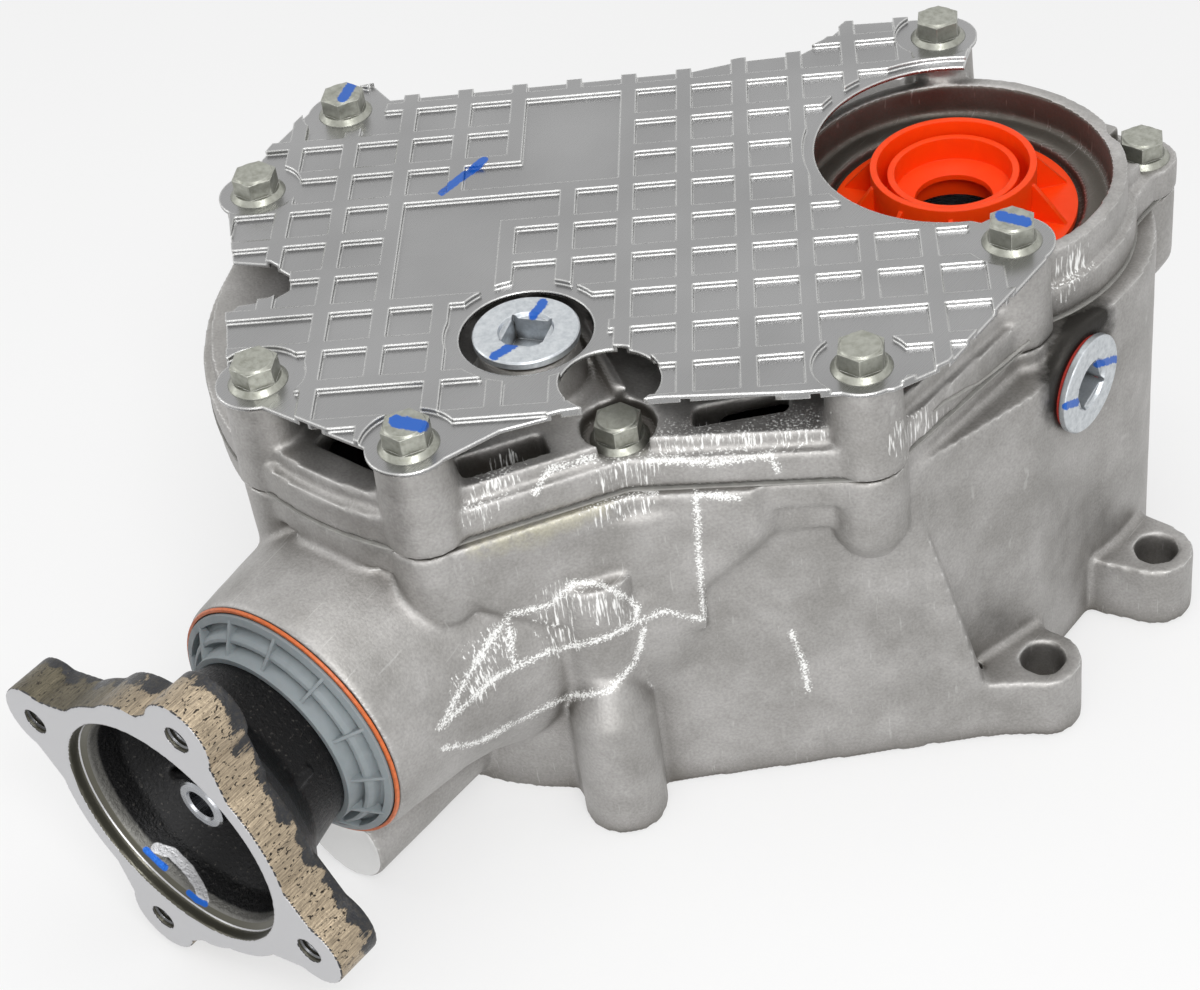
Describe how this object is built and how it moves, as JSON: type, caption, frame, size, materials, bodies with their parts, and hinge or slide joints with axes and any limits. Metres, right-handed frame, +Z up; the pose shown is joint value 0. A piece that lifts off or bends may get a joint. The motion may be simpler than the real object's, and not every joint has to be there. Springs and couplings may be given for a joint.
{
  "type": "transfer case",
  "caption": "Die-cast transfer case with a flanged propeller-shaft output, embossed heat shield, plugs and a transport cap.",
  "frame": {"origin": "input axis on the transaxle mating face", "axes": "+Z up along the input axis to the cover, output flange looks along -Y, drain plug on +X side"},
  "size_m": [0.2935, 0.3717, 0.1688],
  "materials": {
    "cast_aluminium": "as cast, matt",
    "stamped_aluminium": "satin sheet",
    "sealant": "cured sealant",
    "zinc_steel": "zinc plated",
    "ground_steel": "ground",
    "gear_steel": "cut and hardened",
    "black_steel": "blackened",
    "cast_flange": "cast with machined ears",
    "orange_plastic": "moulded",
    "grey_plastic": "moulded",
    "red_seal": "moulded",
    "orange_rubber": "moulded",
    "black_rubber": "moulded"
  },
  "bodies": {
    "case": {"main_housing": "cast_aluminium", "side_cover": "cast_aluminium", "case_sealant": "sealant", "dowel_pins": "ground_steel", "shield_bolts": "zinc_steel", "cover_bolts": "zinc_steel", "heat_shield": "stamped_aluminium", "fill_plug": "zinc_steel", "fill_washer": "stamped_aluminium", "drain_plug": "zinc_steel", "drain_washer": "red_seal", "transport_cap": "orange_plastic", "axle_seal": "black_rubber", "input_seal": "black_rubber", "output_seal": "black_rubber", "input_bearing_cups": "ground_steel", "counter_bearing_cups": "ground_steel", "pinion_bearing_cups": "ground_steel", "nose_lip": "orange_rubber"},
    "input": {"input_shaft": "ground_steel", "input_gear": "gear_steel", "input_bearing_cones": "ground_steel"},
    "counter": {"counter_shaft": "ground_steel", "driven_gear": "gear_steel", "ring_gear": "gear_steel", "ring_gear_bolts": "black_steel", "counter_bearing_cones": "ground_steel"},
    "output": {"pinion_shaft": "gear_steel", "pinion_bearing_cones": "ground_steel", "pinion_spacer": "ground_steel", "output_flange": "cast_flange", "pinion_nut": "black_steel", "dust_ring": "grey_plastic"}
  },
  "joints": [
    {"name": "counter_spin", "type": "hinge", "parent": "case", "child": "counter", "pos_m": [-0.0856, -0.1052, 0.0685], "axis": [0, 0, 1], "continuous": true},
    {"name": "input_spin", "type": "hinge", "parent": "case", "child": "input", "pos_m": [0, 0, 0.0685], "axis": [0, 0, 1], "continuous": true},
    {"name": "output_spin", "type": "hinge", "parent": "case", "child": "output", "pos_m": [-0.0856, -0.24, 0.0685], "axis": [0, 1, 0], "continuous": true}
  ],
  "couplings": [
    {"joint": "input_spin", "follows": "counter_spin", "ratio": -1.4194},
    {"joint": "output_spin", "follows": "counter_spin", "ratio": 2.6923}
  ]
}
